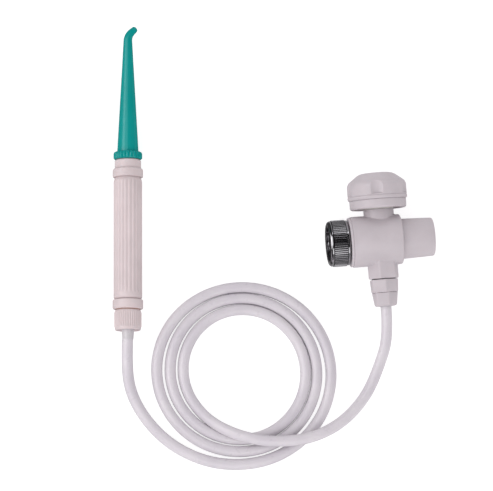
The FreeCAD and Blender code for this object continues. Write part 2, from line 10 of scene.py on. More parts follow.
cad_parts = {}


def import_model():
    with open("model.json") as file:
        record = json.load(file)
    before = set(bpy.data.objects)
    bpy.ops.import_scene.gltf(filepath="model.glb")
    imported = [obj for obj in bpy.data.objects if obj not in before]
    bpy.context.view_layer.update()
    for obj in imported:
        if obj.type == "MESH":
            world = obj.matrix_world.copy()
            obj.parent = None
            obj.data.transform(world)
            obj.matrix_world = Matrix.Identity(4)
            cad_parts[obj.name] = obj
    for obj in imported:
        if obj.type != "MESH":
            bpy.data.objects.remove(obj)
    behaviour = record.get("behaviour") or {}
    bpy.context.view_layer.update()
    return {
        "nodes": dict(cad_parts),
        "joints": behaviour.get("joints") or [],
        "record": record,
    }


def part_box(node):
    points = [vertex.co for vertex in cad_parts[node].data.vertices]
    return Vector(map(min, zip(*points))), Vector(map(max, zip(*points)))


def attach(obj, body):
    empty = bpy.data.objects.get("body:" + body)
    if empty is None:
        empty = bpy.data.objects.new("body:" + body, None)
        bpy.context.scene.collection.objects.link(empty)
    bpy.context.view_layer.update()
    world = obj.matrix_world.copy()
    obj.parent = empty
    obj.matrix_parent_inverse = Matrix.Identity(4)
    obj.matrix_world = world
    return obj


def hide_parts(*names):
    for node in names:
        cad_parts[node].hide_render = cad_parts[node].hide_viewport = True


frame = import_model()
joints = {joint["name"]: joint for joint in frame["joints"]}
MM = 0.001


# ---------------------------------------------------------------- places, measured on the frame

def local_frame(origin, axis, side):
    """The matrix from local millimetres to the row frame. The axis becomes local X, the side local Y."""
    turn = Matrix((axis, side, axis.cross(side))).transposed()
    return Matrix.Translation(origin) @ (turn * MM).to_4x4()


def local_points(node, place):
    """The node's vertices in local millimetres."""
    inverse = place.inverted()
    return [inverse @ vertex.co for vertex in frame["nodes"][node].data.vertices]


def span(node, place):
    """Where the node starts and ends along local X."""
    stations = [point.x for point in local_points(node, place)]
    return min(stations), max(stations)


def reach(node, place):
    """The node's largest distance from local X."""
    return max(math.hypot(point.y, point.z) for point in local_points(node, place))


def handpiece_frame():
    """Local X towards the jet, local Y to the left, from the mouth of the hose nut."""
    axis = Vector(joints["tip_turn"]["axis"])
    on_axis = Vector(joints["tip_turn"]["pos_m"])
    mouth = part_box("hose_nut")[0].y
    origin = on_axis + axis * (mouth - on_axis.y)
    return local_frame(origin, axis, Vector((0, 0, 1)).cross(axis))


def valve_frame():
    """Local X along the waterway, local Y towards the knob, from the crossing of the two axes."""
    along = Vector(joints["nut_spin"]["axis"]).normalized()
    knob = Vector(joints["knob_turn"]["axis"]).normalized()
    on_nut = Vector(joints["nut_spin"]["pos_m"])
    on_knob = Vector(joints["knob_turn"]["pos_m"])
    origin = on_nut + along * (on_knob - on_nut).dot(along)
    return local_frame(origin, along, knob)


HAND = handpiece_frame()
VALVE = valve_frame()
KNOB = VALVE @ Matrix.Rotation(math.radians(90), 4, "Z")


# ---------------------------------------------------------------- mesh helpers

def rounded(points, steps=5):
    """An outline with rounded corners. A point's third number, if any, is its rounding radius."""
    out = []
    for i, point in enumerate(points):
        if len(point) == 2:
            out.append(tuple(point))
            continue
        corner = Vector(point[:2])
        before = (Vector(points[i - 1][:2]) - corner).normalized()
        after = (Vector(points[(i + 1) % len(points)][:2]) - corner).normalized()
        half = before.angle(after) / 2
        centre = corner + (before + after).normalized() * point[2] / math.sin(half)
        start = corner + before * point[2] / math.tan(half) - centre
        end = corner + after * point[2] / math.tan(half) - centre
        whole = start.angle(end)
        for k in range(steps + 1):
            share = k / steps
            arm = start * math.sin((1 - share) * whole) + end * math.sin(share * whole)
            out.append(tuple(centre + arm / math.sin(whole)))
    return out


def mesh_object(name, vertices, faces, place, sharp=32):
    """A smooth-shaded mesh object whose edges over the given angle stay sharp."""
    mesh = bpy.data.meshes.new(name)
    mesh.from_pydata([place @ Vector(v) for v in vertices], [], faces)
    work = bmesh.new()
    work.from_mesh(mesh)
    bmesh.ops.remove_doubles(work, verts=work.verts, dist=1e-7)
    bmesh.ops.recalc_face_normals(work, faces=work.faces)
    work.to_mesh(mesh)
    work.free()
    mesh.shade_smooth()
    mesh.set_sharp_from_angle(angle=math.radians(sharp))
    piece = bpy.data.objects.new(name, mesh)
    bpy.context.scene.collection.objects.link(piece)
    return piece


def spun_mesh(meridian, count, closed, at):
    """Vertices and faces of a shape round local X. at(axial, radius, angle) places a point."""
    vertices = []
    rows = []
    poles = {}
    for i in range(count):
        angle = 2 * math.pi * i / count
        row = []
        for k, (axial, radius) in enumerate(meridian(angle)):
            if radius < 1e-6 and k in poles:
                row.append(poles[k])
                continue
            if radius < 1e-6:
                poles[k] = len(vertices)
            row.append(len(vertices))
            vertices.append(at(axial, radius, angle))
        rows.append(row)
    faces = []
    for i in range(count):
        left, right = rows[i], rows[(i + 1) % count]
        for k in range(len(left) if closed else len(left) - 1):
            j = (k + 1) % len(left)
            face = list(dict.fromkeys((left[k], left[j], right[j], right[k])))
            if len(face) > 2:
                faces.append(face)
    return vertices, faces


def round_x(axial, radius, angle):
    """A point round local X."""
    return axial, radius * math.cos(angle), radius * math.sin(angle)


def spin(name, place, meridian, count, closed=True, sharp=32):
    """A piece round local X. meridian(angle) gives its outline there, as (axial, radius) points."""
    vertices, faces = spun_mesh(meridian, count, closed, round_x)
    return mesh_object(name, vertices, faces, place, sharp)


def turned(name, place, points, count=96):
    """A plain turned piece, from one closed outline."""
    outline = rounded(points)
    return spin(name, place, lambda angle: outline, count)


def combined(name, base, others, operation, sharp):
    """One mesh object from a base and the others, joined to it or cut from it."""
    for other in others:
        step = base.modifiers.new("combine", "BOOLEAN")
        step.operation = operation
        step.solver = "EXACT"
        step.object = other
    bpy.context.view_layer.update()
    mesh = bpy.data.meshes.new_from_object(base.evaluated_get(bpy.context.evaluated_depsgraph_get()))
    piece = bpy.data.objects.new(name, mesh)
    bpy.context.scene.collection.objects.link(piece)
    for scrap in (base, *others):
        bpy.data.objects.remove(scrap)
    mesh.shade_smooth()
    mesh.set_sharp_from_angle(angle=math.radians(sharp))
    return piece


def rib(angle, count):
    """0 on the crown of a rounded rib, 1 in the groove between two ribs."""
    share = angle * count / (2 * math.pi) % 1
    return (2 * share - 1) ** 2


def wave(angle, count):
    """0 on a ridge and 1 in a valley, both soft."""
    return 0.5 - 0.5 * math.cos(angle * count)


def hexagon(angle, corner_radius, first_corner, softness=26):
    """Radius of a hexagon with softened corners."""
    total = 0.0
    for k in range(6):
        facing = math.cos(angle - math.radians(first_corner + 30 + 60 * k))
        total += max(0.0, facing) ** softness
    return corner_radius * math.cos(math.radians(30)) / total ** (1 / softness)


def spread(start, end, count):
    """Evenly spaced stations, both ends included."""
    return [start + (end - start) * k / (count - 1) for k in range(count)]


# ---------------------------------------------------------------- materials

def mixed(tree, share, first, second, blend="MIX"):
    """Two colours mixed. Each is a socket or a plain colour, and the share a socket or a number."""
    node = tree.nodes.new("ShaderNodeMix")
    node.data_type = "RGBA"
    node.blend_type = blend
    inputs = (node.inputs["Factor"], node.inputs[6], node.inputs[7])
    for value, socket in zip((share, first, second), inputs):
        if isinstance(value, bpy.types.NodeSocket):
            tree.links.new(value, socket)
        elif isinstance(value, tuple):
            socket.default_value = (*value, 1)
        else:
            socket.default_value = value
    return node.outputs[2]


class Nodes:
    """A material's node tree, with short calls that add and link nodes."""

    def __init__(self, name):
        self.material = bpy.data.materials.new(name)
        self.material.use_nodes = True
        self.tree = self.material.node_tree
        self.shader = self.tree.nodes["Principled BSDF"]
        coordinates = self.tree.nodes.new("ShaderNodeTexCoord")
        self.where = coordinates.outputs["Object"]

    def link(self, output, node, socket):
        """An output socket to a node's input, by its name or number."""
        self.tree.links.new(output, node.inputs[socket])

    def noise(self, scale, detail=3.0, rough=0.5, stretch=(1, 1, 1)):
        """Noise in the row frame. A stretch under 1 draws it out along that axis."""
        mapping = self.tree.nodes.new("ShaderNodeMapping")
        mapping.inputs["Scale"].default_value = stretch
        self.link(self.where, mapping, "Vector")
        node = self.tree.nodes.new("ShaderNodeTexNoise")
        node.inputs["Scale"].default_value = scale
        node.inputs["Detail"].default_value = detail
        node.inputs["Roughness"].default_value = rough
        self.link(mapping.outputs["Vector"], node, "Vector")
        return node.outputs["Fac"]

    def ramp(self, value, stops):
        """Colours by value. Each stop is (position, colour)."""
        node = self.tree.nodes.new("ShaderNodeValToRGB")
        elements = node.color_ramp.elements
        while len(elements) < len(stops):
            elements.new(0.5)
        for element, (position, colour) in zip(elements, stops):
            element.position = position
            element.color = (*colour, 1)
        self.link(value, node, "Fac")
        return node.outputs["Color"]

    def mix(self, share, first, second):
        """Two colours mixed in this tree."""
        return mixed(self.tree, share, first, second)

    def map(self, value, low, high, to_low, to_high):
        """A socket's value from one range to another, clamped."""
        node = self.tree.nodes.new("ShaderNodeMapRange")
        for socket, number in zip(node.inputs[1:5], (low, high, to_low, to_high)):
            socket.default_value = number
        self.link(value, node, "Value")
        return node.outputs["Result"]

    def crevice(self, distance):
        """1 in the open and 0 at the bottom of a narrow crevice, by ambient occlusion: the mask for painted
        shade.
        """
        node = self.tree.nodes.new("ShaderNodeAmbientOcclusion")
        node.samples = 6
        node.inputs["Distance"].default_value = distance
        return node.outputs["AO"]

    def bump(self, heights, strength, distance):
        """Bumps from one or several height sockets, one on another."""
        last = None
        for height in heights:
            node = self.tree.nodes.new("ShaderNodeBump")
            node.inputs["Strength"].default_value = strength
            node.inputs["Distance"].default_value = distance
            self.link(height, node, "Height")
            if last:
                self.link(last, node, "Normal")
            last = node.outputs["Normal"]
        self.link(last, self.shader, "Normal")

    def set(self, **values):
        """Values that are the same all over, on the shader's own sockets."""
        for name, value in values.items():
            self.shader.inputs[name.replace("_", " ")].default_value = value


def moulded(name, colour, crevice_shade, roughness, coat, soft, blotch=0.06, tint=(1.0, 1.0, 1.0)):
    """Moulded plastic: faint cloudiness, a fine satin skin, flow marks, and painted shade darkening its
    crevices.
    """
    rough = roughness > 0.3
    made = Nodes(name)
    light = tuple(min(1.0, c * (1 + blotch)) for c in colour)
    dark = tuple(c * (1 - blotch) for c in colour)
    cloud = made.ramp(made.noise(55, 4), [(0.3, dark), (0.5, colour), (0.7, light)])
    # Painted shade: where ambient occlusion finds a narrow crevice, the colour is pulled towards the darker
    # crevice colour.
    shade_mask = made.map(made.crevice(0.0008), 0.12, 0.62, 1.0, 0.0)
    made.link(made.mix(shade_mask, cloud, crevice_shade), made.shader, "Base Color")
    grain = made.noise(2600, 2)
    flow = made.noise(240, 3, 0.5, (1.0, 0.25, 1.0))
    made.link(made.map(made.noise(420, 3), 0.3, 0.7, roughness - 0.05, roughness + 0.07),
              made.shader, "Roughness")
    made.bump((flow, grain), 0.16 if rough else 0.05, 0.00006)
    made.set(Coat_Weight=coat, Coat_Roughness=0.18, IOR=1.48, Specular_Tint=(*tint, 1.0))
    made.set(Subsurface_Weight=soft, Subsurface_Radius=(0.0030, 0.0022, 0.0020), Subsurface_Scale=0.4)
    return made.material


def vinyl(name, colour, streak_and_shade):
    """Milky soft tubing, a little translucent, with drawn-out extrusion marks and painted shade where turns
    lie close.
    """
    made = Nodes(name)
    cloud = made.ramp(made.noise(38, 3), [(0.35, streak_and_shade), (0.62, colour)])
    # Painted shade: between close turns the colour darkens to a dimmer copy of the second colour.
    shade_mask = made.map(made.crevice(0.0018), 0.1, 0.6, 1.0, 0.0)
    made.link(made.mix(shade_mask, cloud, tuple(c * 0.78 for c in streak_and_shade)), made.shader, "Base Color")
    made.link(made.map(made.noise(300, 2), 0.3, 0.7, 0.26, 0.38), made.shader, "Roughness")
    made.bump((made.noise(170, 2), made.noise(1500, 2)), 0.14, 0.00008)
    made.set(Subsurface_Weight=0.35, Subsurface_Radius=(0.0035, 0.0032, 0.0036), Subsurface_Scale=0.6)
    made.set(Coat_Weight=0.25, Coat_Roughness=0.2, IOR=1.5)
    return made.material


def plated(name):
    """Bright chrome plate: fine polishing marks, faint haze, and painted shade at the bottom of the knurls.
    """
    made = Nodes(name)
    haze = made.ramp(made.noise(90, 4), [(0.35, (0.36, 0.35, 0.37)), (0.65, (0.46, 0.45, 0.47))])
    # Painted shade: near black at the bottom of the knurls and in other narrow crevices.
    shade_mask = made.map(made.crevice(0.0006), 0.42, 0.88, 1.0, 0.0)
    made.link(made.mix(shade_mask, haze, (0.02, 0.02, 0.025)), made.shader, "Base Color")
    made.link(made.map(made.noise(700, 3), 0.35, 0.7, 0.05, 0.16), made.shader, "Roughness")
    made.bump((made.noise(900, 2),), 0.05, 0.00005)
    made.set(Metallic=1.0)
    return made.material


def steel(name):
    """Drawn stainless wire and stamped steel."""
    made = Nodes(name)
    tone = made.ramp(made.noise(500, 3), [(0.3, (0.34, 0.34, 0.35)), (0.7, (0.62, 0.62, 0.63))])
    made.link(tone, made.shader, "Base Color")
    made.link(made.map(made.noise(1500, 2), 0.3, 0.7, 0.25, 0.45), made.shader, "Roughness")
    made.bump((made.noise(2500, 2),), 0.15, 0.00004)
    made.set(Metallic=1.0)
    return made.material


def rubber(name, colour, dusty):
    """Matt moulded rubber with a dusty bloom."""
    made = Nodes(name)
    tone = made.ramp(made.noise(300, 4), [(0.35, colour), (0.75, dusty)])
    made.link(tone, made.shader, "Base Color")
    made.link(made.map(made.noise(900, 2), 0.3, 0.7, 0.62, 0.85), made.shader, "Roughness")
    made.bump((made.noise(2200, 3),), 0.35, 0.00006)
    made.set(Sheen_Weight=0.1, Sheen_Roughness=0.5)
    return made.material


def table_top():
    """Pale and faintly glowing, which keeps shadows pale. Gloss sees it darker, most of all on the left."""
    made = Nodes("pale_table")
    tone = made.ramp(made.noise(3, 3), [(0.3, (0.42, 0.42, 0.43)), (0.7, (0.46, 0.46, 0.46))])
    path = made.tree.nodes.new("ShaderNodeLightPath")
    split = made.tree.nodes.new("ShaderNodeSeparateXYZ")
    dark_x, pale_x = 0.024, 0.034
    made.link(made.where, split, "Vector")
    dark_share = made.tree.nodes.new("ShaderNodeMath")
    dark_share.operation = "MULTIPLY"
    made.link(made.map(split.outputs["X"], dark_x, pale_x, 1.0, 0.0), dark_share, 0)
    made.link(path.outputs["Is Glossy Ray"], dark_share, 1)
    made.link(made.mix(dark_share.outputs[0], tone, (0.02, 0.02, 0.02)), made.shader, "Base Color")
    made.link(made.map(made.noise(40, 3), 0.3, 0.7, 0.75, 0.9), made.shader, "Roughness")
    made.bump((made.noise(350, 2),), 0.05, 0.0001)
    glow = made.map(path.outputs["Is Glossy Ray"], 0.0, 1.0, 0.72, 0.04)
    made.link(glow, made.shader, "Emission Strength")
    made.set(Specular_IOR_Level=0.2, Emission_Color=(1.0, 1.0, 1.0, 1.0))
    return made.material


# In each moulded plastic the second colour is painted shade, laid into its crevices.
MATERIALS = {
    "handle_plastic": moulded("handle_plastic", (0.64, 0.55, 0.56), crevice_shade=(0.55, 0.46, 0.46),
                              roughness=0.42, coat=0.06, soft=0.12),
    "valve_plastic": moulded("valve_plastic", (0.55, 0.50, 0.53), crevice_shade=(0.28, 0.23, 0.25),
                             roughness=0.46, coat=0.05, soft=0.10),
    "inner_plastic": moulded("inner_plastic", (0.62, 0.60, 0.57), crevice_shade=(0.30, 0.28, 0.27),
                             roughness=0.48, coat=0.05, soft=0.08),
    "teal_plastic": moulded("teal_plastic", (0.002, 0.28, 0.265), crevice_shade=(0.001, 0.13, 0.12),
                            roughness=0.17, coat=0.0, soft=0.03, blotch=0.03, tint=(0.75, 1.0, 1.0)),
    "hose_vinyl": vinyl("hose_vinyl", (0.67, 0.635, 0.67), (0.61, 0.575, 0.62)),
    "tube_vinyl": vinyl("tube_vinyl", (0.72, 0.73, 0.70), (0.62, 0.64, 0.62)),
    "chrome": plated("chrome"),
    "screen_steel": steel("screen_steel"),
    "black_rubber": rubber("black_rubber", (0.012, 0.012, 0.012), (0.045, 0.045, 0.045)),
    "brown_rubber": rubber("brown_rubber", (0.34, 0.15, 0.10), (0.46, 0.24, 0.17)),
}
NODE_SLOTS = {part["node"]: part["material_slot"] for part in frame["record"]["subparts"]}


def finish_piece(piece, body, node):
    """The piece rides on the body, stands for the CAD node, and takes that node's material."""
    slot = NODE_SLOTS[node]
    piece.data.materials.clear()
    piece.data.materials.append(MATERIALS[slot])
    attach(piece, body)
    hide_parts(node)
    return piece


# ---------------------------------------------------------------- camera, light and table

IMAGE_FIELD = 0.29143
VIEW_DISTANCE = 2.2
VIEW_AT = Vector((-0.01466, -0.03891, 0.0))
VIEW_TILT_X = math.radians(5.0)
VIEW_TILT_Y = math.radians(8.7)
VIEW_ROLL = math.radians(-0.279)
SENSOR = 36.0


def camera():
    """Looks down on the table from far off, from a little to the left and to the coil's side."""
    ahead = Vector((math.tan(VIEW_TILT_X), math.tan(VIEW_TILT_Y), -1.0)).normalized()
    right = ahead.cross(Vector((0, 1, 0))).normalized()
    up = right.cross(ahead)
    rolled_right = right * math.cos(VIEW_ROLL) + up * math.sin(VIEW_ROLL)
    rolled_up = up * math.cos(VIEW_ROLL) - right * math.sin(VIEW_ROLL)
    data = bpy.data.cameras.new("camera")
    data.sensor_width = SENSOR
    data.lens = SENSOR * VIEW_DISTANCE / IMAGE_FIELD
    data.clip_start = 0.05
    data.clip_end = 20
    made = bpy.data.objects.new("camera", data)
    bpy.context.scene.collection.objects.link(made)
    turn = Matrix((rolled_right, rolled_up, -ahead)).transposed().to_4x4()
    made.matrix_world = Matrix.Translation(VIEW_AT - ahead * VIEW_DISTANCE) @ turn
    bpy.context.scene.camera = made


def soft_light(name, place, aim, width, depth, power, colour):
    """A rectangular lamp that faces a point."""
    data = bpy.data.lights.new(name, "AREA")
    data.shape = "RECTANGLE"
    data.size = width
    data.size_y = depth
    data.energy = power
    data.color = colour
    made = bpy.data.objects.new(name, data)
    bpy.context.scene.collection.objects.link(made)
    made.location = place
    made.rotation_euler = (Vector(aim) - Vector(place)).to_track_quat("-Z", "Y").to_euler()


WORLD_STRENGTH = 0.81
EVEN_LIGHT = (1.0, 0.985, 0.995)
LEFT_PANEL = 1.75
DARK_WALL = 0.03


def fill_ramp(ramp, stops):
    """Greys by value. Each stop is (position, brightness)."""
    ramp.color_ramp.interpolation = "EASE"
    elements = ramp.color_ramp.elements
    while len(elements) < len(stops):
        elements.new(0.5)
    for element, (position, value) in zip(elements, stops):
        element.position = position
        element.color = (value, value, value * 1.02, 1)


def turned_share(tree, direction):
    """A direction from -1 to 1 as a share from 0 to 1."""
    share = tree.nodes.new("ShaderNodeMapRange")
    share.inputs["From Min"].default_value = -1
    share.inputs["From Max"].default_value = 1
    tree.links.new(direction, share.inputs["Value"])
    return share.outputs["Result"]


def world():
    """Even light for matt surfaces. Gloss sees a dark studio with bright panels front, back and left."""
    made = bpy.data.worlds.new("studio")
    bpy.context.scene.world = made
    made.use_nodes = True
    tree = made.node_tree
    background = tree.nodes["Background"]
    coordinates = tree.nodes.new("ShaderNodeTexCoord")
    split = tree.nodes.new("ShaderNodeSeparateXYZ")
    tree.links.new(coordinates.outputs["Generated"], split.inputs["Vector"])
    panels = tree.nodes.new("ShaderNodeValToRGB")
    fill_ramp(panels, ((0.0, 0.45), (0.10, 0.40), (0.16, 0.02), (0.30, 0.035), (0.70, 0.02), (0.81, 0.01),
                       (0.855, 2.6), (0.90, 0.5), (1.0, 0.6)))
    share = turned_share(tree, split.outputs["Y"])
    tree.links.new(share, panels.inputs["Fac"])
    left = tree.nodes.new("ShaderNodeValToRGB")
    fill_ramp(left, ((0.0, 0.02), (0.07, 1.0), (0.42, 1.0), (0.46, 0.0)))
    tree.links.new(turned_share(tree, split.outputs["X"]), left.inputs["Fac"])
    middle = tree.nodes.new("ShaderNodeValToRGB")
    fill_ramp(middle, ((0.30, 0.0), (0.42, 1.0), (0.68, 1.0), (0.78, 0.0)))
    tree.links.new(share, middle.inputs["Fac"])
    patch = mixed(tree, 1.0, left.outputs["Color"], middle.outputs["Color"], "MULTIPLY")
    walls = mixed(tree, left.outputs["Color"], panels.outputs["Color"], (DARK_WALL,) * 3)
    glossy = mixed(tree, patch, walls, (LEFT_PANEL,) * 3)
    path = tree.nodes.new("ShaderNodeLightPath")
    choice = mixed(tree, path.outputs["Is Glossy Ray"], EVEN_LIGHT, glossy)
    tree.links.new(choice, background.inputs["Color"])
    background.inputs["Strength"].default_value = WORLD_STRENGTH


def table():
    """A wide floor, a hair under the object."""
    half = 1.6
    corners = [(-half, -half), (half, -half), (half, half), (-half, half)]
    mesh = bpy.data.meshes.new("table")
    mesh.from_pydata([(x, y, -0.0002) for x, y in corners], [], [(0, 1, 2, 3)])
    made = bpy.data.objects.new("table", mesh)
    bpy.context.scene.collection.objects.link(made)
    mesh.materials.append(table_top())


def studio():
    """The whole setting: camera, world, table and two weak lamps."""
    camera()
    world()
    table()
    soft_light("key", place=(-0.85, -0.10, 0.60), aim=(-0.02, -0.05, 0), width=1.0, depth=0.5, power=2.8,
               colour=(1.0, 0.985, 0.985))
    soft_light("low", place=(0.10, -0.85, 0.75), aim=(0, -0.05, 0), width=1.2, depth=0.6, power=2.6,
               colour=(1.0, 1.0, 1.0))
    bpy.context.scene.view_settings.view_transform = "Standard"


# ---------------------------------------------------------------- hose

HOSE_DIAMETER = 0.0065
HOSE_Z = HOSE_DIAMETER / 2

# The spiral winds inwards. Shift, sway, the sway's direction and pinch have one value for each turn,
# the outermost first: the turn is that much larger, off centre, and drawn out along X.
COIL_CENTRE = (-0.0191, -0.1141)
COIL_START_DEG = 290.0
COIL_STEP_DEG = 22.5
COIL_POINTS = 46
COIL_FIRST_R = 0.05942
COIL_TIGHTENING = 0.007063
COIL_SHIFT = (0.0002, -0.00022, -0.0001)
COIL_SWAY = (0.0009, 0.0005, 0.00086)
COIL_SWAY_DEG = (50.0, 50.0, 15.0)
COIL_PINCH = (0.0006, -0.0001, -0.0003)

# The curve cuts inside its control points: its radius is this share of theirs.
CORNER_CUT = 0.981

# The two uncoiled stretches, listed. Between them come the turns.
HANDLE_ROUTE = [
    (-0.08535, -0.09105, 0.00895),
    (-0.0861, -0.1075, 0.0088),
    (-0.0842, -0.1260, 0.0036),
    (-0.0746, -0.1435, 0.00325),
    (-0.0598, -0.1579, 0.00325),
    (-0.0410, -0.1671, 0.00325),
    (-0.0208, -0.1698, 0.00325),
]
VALVE_ROUTE = [
    (-0.0340, -0.1461, 0.0044),
    (-0.0184, -0.1536, 0.0102),
    (0.0001, -0.1565, 0.0104),
    (0.0216, -0.1545, 0.0104),
    (0.0408, -0.1448, 0.0060),
    (0.0555, -0.1285, 0.0033),
    (0.0634, -0.1099, 0.0046),
]
STRAIGHT_OUT = 17.5


def coil_turns():
    """The loose spiral. Each turn is smaller than the one outside it, and is uneven in its own way."""
    points = []
    for i in range(COIL_POINTS):
        degrees = COIL_START_DEG + COIL_STEP_DEG * i
        angle = math.radians(degrees)
        turn = int((degrees - COIL_START_DEG) // 360)
        uneven = COIL_SHIFT[turn] + COIL_PINCH[turn] * math.cos(2 * angle)
        uneven += COIL_SWAY[turn] * math.cos(angle + math.radians(COIL_SWAY_DEG[turn]))
        radius = (COIL_FIRST_R - COIL_TIGHTENING * degrees / 360 + uneven) / CORNER_CUT
        x = COIL_CENTRE[0] + radius * math.cos(angle)
        y = COIL_CENTRE[1] + radius * math.sin(angle)
        points.append((x, y, HOSE_Z))
    return points


def hose():
    """One free hose, from the handpiece's nut through the loose turns and straight into the clamp nut."""
    clamp_end = span("clamp_nut", KNOB)[0]
    into_valve = [tuple(KNOB @ Vector((x, 0, 0))) for x in (clamp_end - STRAIGHT_OUT, clamp_end)]
    route = HANDLE_ROUTE + coil_turns() + VALVE_ROUTE + into_valve
    data = bpy.data.curves.new("hose", "CURVE")
    data.dimensions = "3D"
    spline = data.splines.new("NURBS")
    spline.points.add(len(route) - 1)
    for point, place in zip(spline.points, route):
        point.co = (*place, 1)
    spline.order_u = 3
    spline.use_endpoint_u = True
    data.resolution_u = 10
    data.bevel_depth = HOSE_DIAMETER / 2
    data.bevel_resolution = 8
    data.use_fill_caps = True
    data.materials.append(MATERIALS["hose_vinyl"])
    made = bpy.data.objects.new("hose", data)
    bpy.context.scene.collection.objects.link(made)
    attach(made, "base")
    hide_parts("hose_lead_handle", "hose_coil", "hose_lead_valve")
    return made


def hose_sleeve():
    """The hose swells a little where the nut grips it."""
    start, end = span("hose_sleeve", HAND)
    hose_r = HOSE_DIAMETER / MM / 2
    outline = rounded([(start, hose_r - 0.1), (start, hose_r + 0.03), (start + 1.6, hose_r + 0.12, 2.0),
                       (-0.6, 3.62, 2.0), (end, 3.62), (end, hose_r - 0.1)])
    made = spin("hose_sleeve_taper", HAND, lambda angle: outline, 64)
    return finish_piece(made, "base", "hose_sleeve")


# ---------------------------------------------------------------- handpiece pieces

def hose_nut():
    """Knurled nut with a dished mouth for the hose."""
    start, end = span("hose_nut", HAND)
    outer = reach("hose_nut", HAND)
    ridges = 38
    depth = 0.4

    def meridian(angle):
        ridge = outer - depth * (1 - (1 - wave(angle, ridges)) ** 3)
        return rounded([
            (start + 5, 3.7), (start + 0.9, 3.7, 0.25), (start + 0.9, 6.3, 0.3), (start, 6.85, 0.15),
            (start, 7.35, 0.2), (start + 1.5, outer - 0.3, 0.6), (start + 2.2, ridge), (end - 2.0, ridge),
            (end - 1.1, min(ridge, 7.72)), (end - 0.35, 7.4), (end, 7.0), (end, 6.1), (start + 5, 6.1)])
    return finish_piece(spin("hose_nut_knurled", HAND, meridian, ridges * 10), "base", "hose_nut")


def rear_ring():
    """Trim ring between the hose nut's gasket and the barrel."""
    start, end = span("rear_ring", HAND)
    outer = reach("rear_ring", HAND)
    made = turned("rear_ring_moulded", HAND, [
        (start, 6.0), (start, 7.9, 0.1), (start + 0.1, 8.05, 0.1), (start + 0.15, outer, 0.75),
        (end - 0.05, outer, 0.5), (end, 7.7, 0.1), (end, 6.0)])
    return finish_piece(made, "base", "rear_ring")


def grip_barrel():
    """Fluted sleeve. Its flutes fade out before the rear shoulder, which has a row of small pits."""
    start, end = span("grip_barrel", HAND)
    crown = reach("grip_barrel", HAND)
    flutes = 21
    rear, front = 2.0, 3.8
    stations = spread(start, start + 0.6, 5) + spread(start + 0.75, start + 7.4, 27)
    stations += spread(start + 10, end - 8, 9) + spread(end - front - 0.6, end, 20)

    def envelope(axial):
        length, inset = (rear, axial - start) if axial < start + 20 else (front, end - axial)
        share = min(1.0, inset / length)
        return crown + 0.03 - 1.1 * (1 - math.sin(share * math.pi / 2)) ** 1.2

    def meridian(angle):
        groove = rib(angle, flutes)
        points = []
        for axial in stations:
            run_out = min(1.0, max(0.0, (axial - start - 1.8 - 1.8 * groove) / 2.0))
            radius = min(envelope(axial), crown - 0.42 * groove * run_out)
            pit = max(0.0, 1 - (axial - start) / 0.6)
            points.append((axial, radius - 0.8 * pit * max(0.0, groove - 0.4)))
        return points + [(end, 6.0), (start, 6.0)]
    made = spin("grip_barrel_fluted", HAND, meridian, flutes * 14, sharp=40)
    return finish_piece(made, "base", "grip_barrel")


def front_ring():
    """Trim ring between the barrel and the nose."""
    start, end = span("front_ring", HAND)
    outer = reach("front_ring", HAND)
    made = turned("front_ring_moulded", HAND, [
        (start, 6.0), (start, 8.0, 0.15), (start + 0.05, outer, 0.6), (end - 0.9, outer, 0.45),
        (end - 0.08, 7.95, 0.15), (end, 7.8, 0.05), (end, 6.0)])
    return finish_piece(made, "base", "front_ring")


def nose():
    """Short neck with the socket that the jet plugs into, screwed in through the front ring."""
    start, end = span("nose", HAND)
    outer = reach("nose", HAND)
    ring_end = span("front_ring", HAND)[1]
    thread = 5.9
    made = turned("nose_moulded", HAND, [
        (start, 4.95), (start, thread, 0.3), (ring_end, thread), (ring_end + 0.02, outer, 0.15),
        (end - 0.75, outer, 0.3), (end, outer - 0.7, 0.3), (end, 3.7, 0.2), (ring_end - 4.0, 3.7),
        (ring_end - 4.0, 4.95)])
    return finish_piece(made, "base", "nose")


def tip_collar():
    """Fluted colour ring round the jet's foot."""
    start, end = span("tip_collar", HAND)
    outer = reach("tip_collar", HAND)
    lobes = 23

    def meridian(angle):
        lobe = outer - 0.6 * rib(angle, lobes)
        return rounded([
            (start, 3.7), (start, 7.4, 0.15), (start + 0.25, min(lobe, 7.9), 0.2), (start + 0.8, lobe),
            (end - 0.9, lobe), (end - 0.3, lobe - 0.3), (end, lobe - 0.9), (end - 0.02, 6.3, 0.15),
            (start + 1.0, 6.3), (start + 1.0, 3.7)])
    return finish_piece(spin("tip_collar_lobed", HAND, meridian, lobes * 12, sharp=38), "tip", "tip_collar")


JET_BEND_A = 172.6
JET_BEND_RADIUS = 7.5
JET_BEND_DEG = 48.0
JET_END_LENGTH = 3.25
JET_FOOT_R = 6.25
JET_WAIST = [(138.0, 4.48), (157.0, 3.4)]
JET_SLIM_R = 2.58
JET_BORE_R = 0.45


def jet_line(along, radius, angle):
    """A point at a distance along the jet's bent middle line, and at a radius and angle round it."""
    turn = min(max(0.0, (along - JET_BEND_A) / JET_BEND_RADIUS), math.radians(JET_BEND_DEG))
    beyond = max(0.0, along - JET_BEND_A - JET_BEND_RADIUS * math.radians(JET_BEND_DEG))
    straight = min(along, JET_BEND_A)
    x = straight + JET_BEND_RADIUS * math.sin(turn) + beyond * math.cos(turn)
    y = -JET_BEND_RADIUS * (1 - math.cos(turn)) - beyond * math.sin(turn)
    side = radius * math.cos(angle)
    return x + side * math.sin(turn), y + side * math.cos(turn), radius * math.sin(angle)


